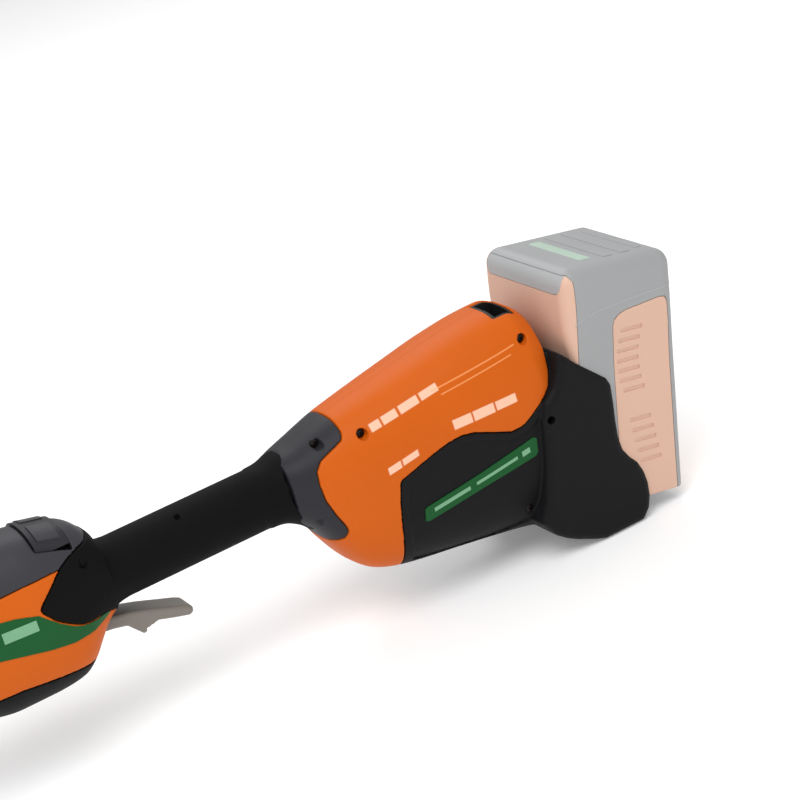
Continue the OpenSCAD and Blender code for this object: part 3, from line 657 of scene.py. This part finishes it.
# rubber leaf over the trigger housing
front_st = [[-228, 20, -20, 20], [-218, 25, -25, 23.5], [-202, 33, -34, 27], [-184, 39, -41, 29], [-165, 42, -44.5, 30], [-147, 42, -44.5, 30],
            [-138, 41, -44, 29.5], [-130, 39, -42.5, 28.5], [-123.5, 37.6, -38, 27], [-117, 36, -30.5, 24.5], [-111, 32.5, -23.5, 22], [-106, 27, -19.6, 19.6], [-103.8, 24, -18.6, 18.4]]
fr = lathe("fr", [(14, 0), (17.9, 0), (17.7, 1.4), (17.2, 3.2), (16.8, 5.4), (16.5, 8), (14, 8)], (-103.6, 0, 0), (1, 0, 0), 96)
LEAF = [[-98, 26], [-108, 26.5], [-116, 25.8], [-122, 24.6], [-127, 22.8], [-131, 20.4], [-135.4, 17], [-140, 13.4], [-143.4, 10.6], [-144.6, 8.8], [-144.2, 6.6], [-142, 4], [-139.4, 1.2], [-136.1, -1.6], [-131.6, -5], [-127.3, -7.6], [-122, -9], [-116.9, -9.6], [-111.4, -10.6], [-106.4, -13.6], [-103, -17.5], [-98, -20]]
lf = loft("lf", front_st, 2.5, d=-0.5)
meet(lf, prism("x", LEAF, -60, 60))
cut(lf, loft("x", front_st, 2.5, d=3.0))
cut(lf, box("tw", (-140, -10.5, -60), (-103.8, 10.5, -12)))
g = join("g", g, fl, fr, lf)
mould(g, 0.55, 5)
cut(g, cyl("x", (-116.5, -60, 19.3), (-116.5, -22.0, 19.3), 2.4))
cut(g, cyl("x", (-120, 0, 0), (10, 0, 0), 13.62, 96))
# a shallow recess
cut(g, cyl("x", (-59.6, -30, 13.8), (-59.6, -7, 13.8), 1.5, 24))
smooth(g, 45)
g.name = "grip_sleeve_look"
done(g, "rubber", "main_body")
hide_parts("grip_sleeve")

# ---- trigger housing -------------------------------------------------------
top_split = [[-240, 13], [-222, 15], [-205, 18], [-185, 21], [-165, 22.4], [-150, 22.8], [-138, 22.6], [-128, 22.2], [-120, 22], [-115, 21.5], [-110.5, 18.5], [-107.5, 16], [-100, 15]]
low_split = [[-240, -13], [-214, -17], [-202, -21], [-190, -24.4], [-178, -26.2], [-165, -26.6], [-155, -28.2], [-145, -29.6], [-139, -30.4], [-133.5, -31.2], [-126.5, -32], [-120, -33.5], [-112, -60]]
leaf = [[x - (0.5 if z > -5 else 0), z - (0.4 if z < 2 else -0.4)] for x, z in LEAF]
fskin = loft("fskin", front_st, 2.5)
leafp = meet(cut(loft("lo", front_st, 2.5, d=-3), loft("li", front_st, 2.5, d=3.3)), prism("leaf", leaf, -60, 60))
trig_win = box("tw", (-140, -10.5, -60), (-96, 10.5, -12))
tubecut = cyl("tc", (-240, 0, 0), (-200, 0, 0), 14.06, 96)
gripcut = cyl("gc", (-121, 0, 0), (-80, 0, 0), 13.66, 96)
backcut = cyl("bc", (-103.6, 0, 0), (-80, 0, 0), 16.45, 96)


def split_prism(line, up, d):
    q = [[p[0], p[1] + d] for p in line]
    return prism("sp", q + ([[-100, 80], [-240, 80]] if up else [[-240, -80]]), -60, 60)


for s, side in ((-1, "left"), (1, "right")):
    o = copy(fskin, "fs")
    cut(o, split_prism(top_split, True, -0.22))
    cut(o, split_prism(low_split, False, 0.22))
    cut(o, leafp, keep=True)
    meet(o, halfbox(s, -3))
    for c in (trig_win, tubecut, gripcut):
        cut(o, c, keep=True)
    if s < 0:
        for x, z in ((-192, 12), (-192, -13)):
            cut(o, cyl("x", (x, -60, z), (x, -24, z), 3.3))
    mould(o, 0.55, 3)
    meet(o, halfbox(s, 0.02))
    o.name = "front_shell_" + side + "_look"
    done(o, "orange_plain", "main_body")
    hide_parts("front_shell_" + side)
for i, (x, z) in enumerate(((-192, 12), (-192, -13))):
    screw("front_screw_%d" % i, x, -25.0, z)
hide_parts("housing_screws")

# grey top cover with the lock-off saddle let in
o = copy(fskin, "ftc")
meet(o, split_prism(top_split, True, 0.22))
cut(o, leafp, keep=True)
cut(o, box("x", (-136.2, -19.5, 24.0), (-117.8, 19.5, 60)))
cut(o, tubecut, keep=True)
cut(o, gripcut, keep=True)
mould(o, 0.6, 4)
o.name = "front_top_cover_look"
done(o, "grey", "main_body")
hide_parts("front_top_cover")

o = copy(fskin, "flc")
meet(o, split_prism(low_split, False, -0.22))
cut(o, trig_win, keep=True)
cut(o, tubecut, keep=True)
mould(o, 0.62, 4)
o.name = "front_lower_cover_look"
done(o, "darker", "main_body")
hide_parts("front_lower_cover")

# green flash under the leaf
flash = [[-228, 12.5], [-205, 14.2], [-190, 14.6], [-172, 13.6], [-158, 11], [-147, 7.4], [-143, 3.4], [-138, -1.4], [-132, -6], [-127.3, -8.4], [-120, -10], [-112, -10.6], [-108.6, -11.6], [-113, -13], [-122, -14.4], [-134, -14.2], [-146, -12.0],
         [-158, -9], [-170, -6], [-185, -3.4], [-205, -1]]
o = loft("fb", front_st, 2.5, d=-0.3)
cut(o, loft("x", front_st, 2.5, d=0.8))
meet(o, prism("x", flash, -60, 60))
cut(o, leafp, keep=True)
smooth(o, 40)
o.name = "front_badges_look"
done(o, "green", "main_body")
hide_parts("front_badges")
for i, (x0, x1, z0, k, h) in enumerate(((-222, -190, 6.5, 0.02, 2.6), (-167, -149, 4.4, -0.06, 2.8))):
    poly = [(x0, z0 - h), (x1, z0 - h + k * (x1 - x0)), (x1, z0 + h + k * (x1 - x0)), (x0, z0 + h)]
    a = loft("a", front_st, 2.5, d=-0.45)
    cut(a, loft("b", front_st, 2.5, d=0.2))
    meet(a, prism("c", poly, -60, 60))
    smooth(a, 40)
    a.name = "flash_bar_%d" % i
    done(a, "print", "main_body")

# lock-off saddle with a ribbed crest
o = loft("lb", front_st, 2.5, d=-1.3)
meet(o, box("x", (-135.8, -19, 30.5), (-118.2, 19, 60)))
for k in range(5):
    x = -133 + 3.0 * k
    cut(o, box("x", (x - 0.5, -9, 41.0 - 0.35 * k), (x + 0.5, 9, 60)))
bevel(o, 0.7, 3)
st = cyl("st", (-127, 0, 20), (-127, 0, 31.4), 2.4)
o.name = "lock_button_look"
done(o, "collar", "lock_button")
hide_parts("lock_button")
done(smooth(st, 40), "collar", "lock_button").name = "lock_button_stem"
for i, (y0, y1) in enumerate(((-16.5, -3.5), (3.5, 16.5))):
    o = loft("lp", front_st, 2.5, d=-1.9)
    meet(o, box("x", (-132.6, y0, 32), (-121.2, y1, 60)))
    cut(o, loft("x", front_st, 2.5, d=-0.9))
    bevel(o, 0.4, 2)
    o.name = "lock_pad_%d" % i
    done(o, "grey", "lock_button")
drop(fskin, leafp, trig_win, tubecut, gripcut, backcut)

# ---- trigger ---------------------------------------------------------------
lever = [[-127, -20], [-126, -16.4], [-123.6, -14.7], [-118, -14.3], [-114, -15.2], [-111, -18], [-108, -20.0], [-103, -21.2], [-97, -22.6], [-90, -24.8], [-84, -27.0], [-76, -30.0], [-70, -32.2], [-66.6, -33.8], [-65.2, -35.6],
         [-65.6, -38.0], [-67.8, -39.2], [-76, -36.8], [-84, -34.2], [-91, -31.8], [-95.6, -30.6], [-93.6, -33], [-91.2, -35.6], [-91.8, -37.0], [-93.6, -37.3], [-97.2, -33.2], [-100.6, -29.4], [-108, -27.6], [-114, -26.8], [-122, -25.6]]
o = pillow("tr", lever, 8, 2.0)
o = join("trj", o, cyl("x", (-122, -8, -19), (-122, 8, -19), 5.6))
mould(o, 0.5, 5)
cut(o, cyl("x", (-122, -10, -19), (-122, 10, -19), 2.05))
smooth(o, 50)
o.name = "trigger_look"
done(o, "warm", "trigger")
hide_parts("trigger")

# ---- battery ---------------------------------------------------------------
def packloft(name, x0, x1, y, z0, z1, r, rt=None, nseg=6):
    """Rounded block in the battery frame: corner radius r in plan, rt on the top rim."""
    rt = r if rt is None else rt
    plan = []
    for cx_, cy_, a0 in ((x1 - r, y - r, 0), (x0 + r, y - r, 90), (x0 + r, -y + r, 180), (x1 - r, -y + r, 270)):
        for k in range(nseg + 1):
            a = math.radians(a0 + 90 * k / nseg)
            plan.append((cx_ + r * math.cos(a), cy_ + r * math.sin(a), math.cos(a), math.sin(a)))
    rows = [(z0, 1.2), (z0 + 0.35, 0.35), (z0 + 1.2, 0)] + [(z1 - rt + rt * math.sin(math.radians(t)), rt * (1 - math.cos(math.radians(t)))) for t in range(0, 91, 15)]
    V, Fc = [], []
    n = len(plan)
    for z, d in rows:
        for px, py, ux, uy in plan:
            V.append(frame_pt(px - ux * d, py - uy * d, z))
    for j in range(len(rows) - 1):
        for i in range(n):
            Fc.append((j * n + i, j * n + (i + 1) % n, (j + 1) * n + (i + 1) % n, (j + 1) * n + i))
    Fc.append(tuple(range(n)))
    Fc.append(tuple((len(rows) - 1) * n + i for i in reversed(range(n))))
    return new(name, V, Fc)


def packbody(name, e=0.0):
    """The battery's outer form: the front swells forward under the latch. e grows it."""
    rows = [(-PH - e, 1.2, 0, 0, 4.5), (-PH + 0.35 - e, 0.35, 0, 0, 4.5), (-PH + 1.2 - e, 0, 0, 0, 4.5), (-30, 0, 0, 0, 4.5), (4, 0, 0, 0.1, 4.5), (9, 0, 0.3, 0.2, 4.7), (14, 0, 1.1, 0.4, 5),
            (20, 0, 2.4, 0.8, 5.4), (27, 0, 4.0, 1.3, 6), (34, 0, 5.2, 1.8, 6.6), (42, 0, 6.0, 2.3, 7.2), (50, 0, 6.3, 2.5, 7.6)]
    zt, rt_ = PH + 1.0 - 9.0, 9.0
    rows += [(zt + (rt_ + e) * math.sin(math.radians(t)), rt_ * (1 - math.cos(math.radians(t))), 6.4, 2.6, 8.0) for t in range(0, 91, 9)]
    V_, F_, n_ = [], [], 0
    for z, d, fwd, wid, r in rows:
        x0_, x1_, y_ = PF - fwd - e, -PF + 2.6 + e, PW + wid + e
        ring = []
        for cx_, cy_, a0 in ((x1_ - r, y_ - r, 0), (x0_ + r, y_ - r, 90), (x0_ + r, -y_ + r, 180), (x1_ - r, -y_ + r, 270)):
            for k in range(9):
                t = math.radians(a0 + 11.25 * k)
                ring.append(frame_pt(cx_ + (r - d) * math.cos(t), cy_ + (r - d) * math.sin(t), z) if d <= r else
                            frame_pt(cx_ - (d - r) * (1 if math.cos(math.radians(a0 + 45)) > 0 else -1), cy_ - (d - r) * (1 if math.sin(math.radians(a0 + 45)) > 0 else -1), z))
        n_ = len(ring)
        V_ += ring
    for j in range(len(rows) - 1):
        for i in range(n_):
            F_.append((j * n_ + i, j * n_ + (i + 1) % n_, (j + 1) * n_ + (i + 1) % n_, (j + 1) * n_ + i))
    F_.append(tuple(reversed(range(n_))))
    F_.append(tuple((len(rows) - 1) * n_ + i for i in range(n_)))
    return new(name, V_, F_)


def packslab(q, y0, y1):
    """The outline q of (x, z) points, from y0 to y1 in the battery frame."""
    n_ = len(q)
    V_ = [frame_pt(x, y0, z) for x, z in q] + [frame_pt(x, y1, z) for x, z in q]
    return new("x", V_, [tuple(range(n_)), tuple(reversed(range(n_, 2 * n_)))] + [(i, (i + 1) % n_, n_ + (i + 1) % n_, n_ + i) for i in range(n_)])


def cover_zone(d):
    """The pale front cover's side outline, grown by d."""
    return [(PF - 16, -PH - 4), (PF + 3.0 + d, -PH - 4), (PF + 2.2 + d, 6), (PF + 1.0 + d, 18), (PF + 0.6 + d, 30), (PF + 0.4 + d, 52), (PF - 0.2 + d, 62), (PF - 2.4 + d, 65.6 + d), (PF - 16, 65.6 + d)]


body = packbody("pbody")
XF = PF + 3.0


def channels(o):
    for q in (-1, 1):
        cut(o, packbox("x", (PF - 5, -19.5 if q < 0 else 16.5, -PH - 1), (PF + 3.4, -16.5 if q < 0 else 19.5, 14)))
        cut(o, packbox("x", (PF + 2.1, -23.6 if q < 0 else 16.5, -PH - 1), (PF + 5.1, -16.5 if q < 0 else 23.6, 14)))
    cut(o, packbox("x", (PF - 5, -14.6, -PH - 1), (PF + 5.2, 14.6, -48.8)))
    for y in (-9.5, -3.2, 3.2, 9.5):
        cut(o, packbox("x", (PF - 0.6, y - 0.8, -50), (PF + 3.4, y + 0.8, -36)))
    cut(o, packbox("x", (PF + 0.9, -22.6, 37.4), (PF + 11.8, 22.6, 60.2)))
    return o


def latch_shape(d, x0, x1, top):
    """Outline of the latch with rounded lower corners, shrunk by d."""
    pk = [(36.6 - d, top), (-36.6 + d, top)]
    for cy_, a0 in ((-30.6, 180), (30.6, 270)):
        for k in range(9):
            t = math.radians(a0 + 11.25 * k)
            pk.append((cy_ + (6 - d) * math.cos(t), 60.6 + (6 - d) * math.sin(t)))
    n_ = len(pk)
    V_ = [frame_pt(x0, y, z) for y, z in pk] + [frame_pt(x1, y, z) for y, z in pk]
    return new("x", V_, [tuple(range(n_)), tuple(reversed(range(n_, 2 * n_)))] + [(i, (i + 1) % n_, n_ + (i + 1) % n_, n_ + i) for i in range(n_)])


o = channels(meet(copy(body, "pfc"), packslab(cover_zone(0), -60, 60)))
cut(o, latch_shape(0, PF - 16, PF + 10, 90))
bevel(o, 0.6, 3)
o.name = "pack_front_cover_look"
done(o, "pale", "battery")
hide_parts("pack_front_cover")

o = copy(body, "prc")
kz = packslab(cover_zone(0.3), -60, 60)
cut(kz, packbox("x", (PF - 20, -36.3, 65.2), (PF + 20, 36.3, 90)))
cut(o, kz)
cut(o, latch_shape(0, PF - 16, PF + 4.4, 65.4))
channels(o)
side_panel = []
for x, z in ((-7.6, -PH - 2), (-7.6, 33), (-6.6, 36.6), (-3.6, 39.2), (1, 40.6), (14, 42.2), (23, 43.2), (26.2, 42.6), (27.6, 40), (28.2, 30), (28.6, -PH - 2)):
    side_panel.append((x, z))


def panel_block(d, y0, y1):
    """The side panel's outline, moved in by d, from y0 to y1 in the battery frame."""
    q = [(x + (d if x < 0 else -d if x > 20 else 0), z - (d if z > 0 else 0)) for x, z in side_panel]
    n_ = len(q)
    V_ = [frame_pt(x, y0, z) for x, z in q] + [frame_pt(x, y1, z) for x, z in q]
    return new("x", V_, [tuple(range(n_)), tuple(reversed(range(n_, 2 * n_)))] + [(i, (i + 1) % n_, n_ + (i + 1) % n_, n_ + i) for i in range(n_)])


for q in (-1, 1):
    cut(o, panel_block(0, -60 if q < 0 else PW - 1.4, -PW + 1.4 if q < 0 else 60))
cut(o, packbox("x", (-PF + 1.2, -31, -PH - 2), (60, 31, 44)))
seam = packbody("seam", 0.12)
cut(seam, packbox("x", (-60, -36, -90), (60, 36, 90)))
meet(seam, packslab([(-30.5, 38.0), (-24, 41.4), (-16, 43.2), (-6, 44.6), (10, 46.2), (34, 48.2), (34, 48.9), (10, 46.9), (-6, 45.3), (-16, 43.9), (-24, 42.1), (-30.5, 38.7)], -60, 60))
smooth(seam, 40)
seam.name = "pack_seam_bead"
done(seam, "palegrey2", "battery")
cut(o, packbox("x", (-19, -33, -60), (24.6, 33, 58)))
bevel(o, 0.8, 3)
o.name = "pack_rear_case_look"
done(o, "palegrey", "battery")
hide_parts("pack_rear_case")
for q, side in ((-1, "left"), (1, "right")):
    o = meet(copy(body, "psp"), panel_block(0.35, -60 if q < 0 else PW - 1.4, -PW + 1.4 if q < 0 else 60))
    ribs = [(29.5 - 5.6 * k, (-2.4, -4.2, -5.0, -5.2, -4.8, -4.0, -2.4)[k]) for k in range(7)] + [(-21.5 - 6.0 * k, 0.4 + 1.3 * k) for k in range(5)]
    rb = join("rb", *[packbox("r", (x0, -60 if q < 0 else 20, z - 1.1), (x0 + 13.5, -20 if q < 0 else 60, z + 1.1)) for z, x0 in ribs])
    cut(rb, packbody("r2", -0.6))
    cut(o, rb)
    bevel(o, 0.4, 2)
    o.name = "pack_side_panel_" + side
    done(o, "pale", "battery")

o = packbox("pbk", (-PF + 1.3, -30.6, -PH + 1), (-PF + 2.7, 30.6, 43.6))
bevel(o, 0.5, 2)
o.name = "pack_back_panel"
done(o, "pale", "battery")
drop(body)
# printed bar and raised steps on the pack's roof
for nm, a_, b_, mat in (("bar", (-15.5, -25, PH + 0.4), (-8.5, 25, PH + 1.3), "palegreen"), ("step_0", (-3, -29, PH), (2.4, 29, PH + 1.5), "palegrey"), ("step_1", (8, -29, PH), (13.4, 29, PH + 1.5), "palegrey"),
                        ("step_2", (19, -26, PH), (23, 26, PH + 1.4), "palegrey")):
    o = packbox("pt", a_, b_)
    bevel(o, 0.35, 2)
    o.name = "pack_roof_" + nm
    done(o, mat, "battery")
# latch button and its pegs
o = meet(latch_shape(0.3, PF - 14, PF + 1.0, 65.1), packbody("lb2", -0.2))
bevel(o, 0.7, 3)
o.name = "pack_latch_look"
done(o, "palegrey2", "battery_latch")
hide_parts("pack_latch")
for i, y in enumerate((-14, 14)):
    o = cyl("pack_latch_peg_%d" % i, frame_pt(PF + 0.8, y, 57.6), frame_pt(PF + 7.8, y, 57.6), 2.2)
    done(smooth(o, 40), "palegrey", "battery_latch")

# ---- CAD parts carried over ------------------------------------------------
plain = {
    "terminal_block": ("darker", 0.4), "contact_blades": ("copper", 0.1), "controller_board": ("board", 0.15), "trigger_pin": ("steel", 0.3), "trigger_spring": ("steel", 0),
    "trigger_switch": ("darker", 0.5), "lock_spring": ("steel", 0), "shaft_lead": ("cable", 0.3), "upper_tube": ("alu", 0.3), "handle_clamp_upper": ("dark", 0.9),
    "handle_clamp_lower": ("dark", 0.9), "clamp_screws": ("steel", 0.3), "loop_handle": ("dark", 0), "clamp_bolt": ("steel", 0.5),
    "clamp_knob": ("darker", 1.0), "shaft_coupler": ("dark", 0.9), "lock_collar": ("collar", 0.6), "lock_collet": ("palegrey", 0.3), "lower_tube": ("alu", 0.3), "head_yoke": ("dark", 1.0),
    "tilt_pin": ("steel", 0.3), "tilt_button": ("red", 0.6), "tilt_spring": ("steel", 0), "head_housing_left": ("orange_plain", 0.9), "head_housing_right": ("orange_plain", 0.9),
    "head_cap": ("grey", 0.6), "motor_can": ("steel", 0.3), "motor_armature": ("copper", 0.3), "guard": ("dark", 0.8), "guard_screws": ("steel", 0.3), "line_cutter": ("steel", 0.15),
    "plant_guard": ("steel", 0), "spool_cup": ("dark", 0.8), "line_eyelets": ("brass", 0.3), "spool": ("red", 0.5), "line_winding": ("line", 0.3), "spool_spring": ("steel", 0),
    "pack_latch_spring": ("steel", 0), "pack_cells": ("cell", 0.5)}
for n, (mat, w) in plain.items():
    o = NODES[n]
    o.data.materials.clear()
    o.data.materials.append(M[mat])
    o.data.shade_smooth()
    o.data.set_sharp_from_angle(angle=math.radians(35))
    if w:
        b = o.modifiers.new("bevel", "BEVEL")
        b.width, b.segments, b.limit_method, b.angle_limit, b.use_clamp_overlap = w / 1000, 2, "ANGLE", math.radians(40), True
        k = o.modifiers.new("wn", "WEIGHTED_NORMAL")
        k.keep_sharp = True

# loop grip with finger ribs
LC = Matrix.Translation((-330, 0, 27)) @ Matrix.Rotation(math.radians(12), 4, "Y")
p0 = LC @ Vector((0, -31, 140))
prof = [(7.05, 0), (11.4, 0), (12.4, 1.2)]
for k in range(14):
    y = 3 + 4.0 * k
    prof += [(12.4, y), (12.4, y + 2.5), (11.7, y + 2.9), (11.7, y + 3.6)]
prof += [(12.4, 60.8), (11.4, 62), (7.05, 62)]
n = 72
V, Fc = [], []
for r, h in prof:
    for i in range(n):
        a = 2 * math.pi * i / n
        V.append(tuple(p0 + Vector((r * math.cos(a), h, r * math.sin(a)))))
m_ = len(prof)
for j in range(m_):
    for i in range(n):
        Fc.append((j * n + i, j * n + (i + 1) % n, ((j + 1) % m_) * n + (i + 1) % n, ((j + 1) % m_) * n + i))
o = new("loop_grip_look", V, Fc)
smooth(o, 30)
done(o, "rubber", "loop_handle")
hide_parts("loop_grip")

# ---- stage, light, camera --------------------------------------------------
bpy.context.view_layer.update()

fl_ = new("floor", [(-6, -6, 0), (6, -6, 0), (6, 6, 0), (-6, 6, 0)], [(0, 1, 2, 3)], mm=False)
mf, nt, b = nodes_of("floor")
tc = nt.nodes.new("ShaderNodeTexCoord")
nz = nt.nodes.new("ShaderNodeTexNoise")
nz.inputs["Scale"].default_value = 3
nt.links.new(tc.outputs["Object"], nz.inputs["Vector"])
mx = nt.nodes.new("ShaderNodeMix")
mx.data_type = "RGBA"
mx.inputs[6].default_value = (0.90, 0.90, 0.90, 1)
mx.inputs[7].default_value = (0.93, 0.93, 0.93, 1)
nt.links.new(nz.outputs[0], mx.inputs[0])
nt.links.new(mx.outputs[2], b.inputs["Base Color"])
b.inputs["Roughness"].default_value = 0.8
b.inputs["Emission Color"].default_value = (1, 1, 1, 1)
b.inputs["Emission Strength"].default_value = 0.16
b.inputs["Specular IOR Level"].default_value = 0.1
fl_.data.materials.append(mf)

w = bpy.data.worlds.new("studio")
bpy.context.scene.world = w
w.use_nodes = True
bg = w.node_tree.nodes["Background"]
bg.inputs[0].default_value = (1, 1, 1, 1)
bg.inputs[1].default_value = 0.55


def area(name, loc, target, size, power, col=(1, 1, 1)):
    L = bpy.data.lights.new(name, "AREA")
    L.shape, L.size, L.energy, L.color = "DISK", size, power, col
    o = bpy.data.objects.new(name, L)
    SC.objects.link(o)
    o.location = loc
    o.rotation_euler = (Vector(target) - Vector(loc)).to_track_quat("-Z", "Y").to_euler()
    return o


tgt = (0.5, 0, 0.08)
area("key", (0.1, -0.9, 1.9), tgt, 1.4, 19)
area("rim", (0.9, 1.2, 1.4), tgt, 1.0, 9)
area("far", (-0.6, -0.9, 1.6), (-0.4, 0, 0.05), 1.2, 9)

cam = bpy.data.cameras.new("cam")
co = bpy.data.objects.new("cam", cam)
SC.objects.link(co)
cam.sensor_width, cam.lens = 36, 108.006
fw = Vector((0.38361598, 0.84267059, -0.37781616)).normalized()
rt = Vector((0.83611129, -0.49063379, -0.24534952)).normalized()
up = Vector((0.3921182, 0.22177636, 0.89278136)).normalized()
R = Matrix((rt, up, -fw)).transposed().to_4x4()
R.translation = T((-400.998, -1053.345, 488.357))
co.matrix_world = R
cam.dof.use_dof = False
cam.clip_start, cam.clip_end = 0.05, 50
bpy.context.scene.camera = co
bpy.context.scene.view_settings.view_transform = "Standard"
bpy.context.scene.view_settings.exposure = 0
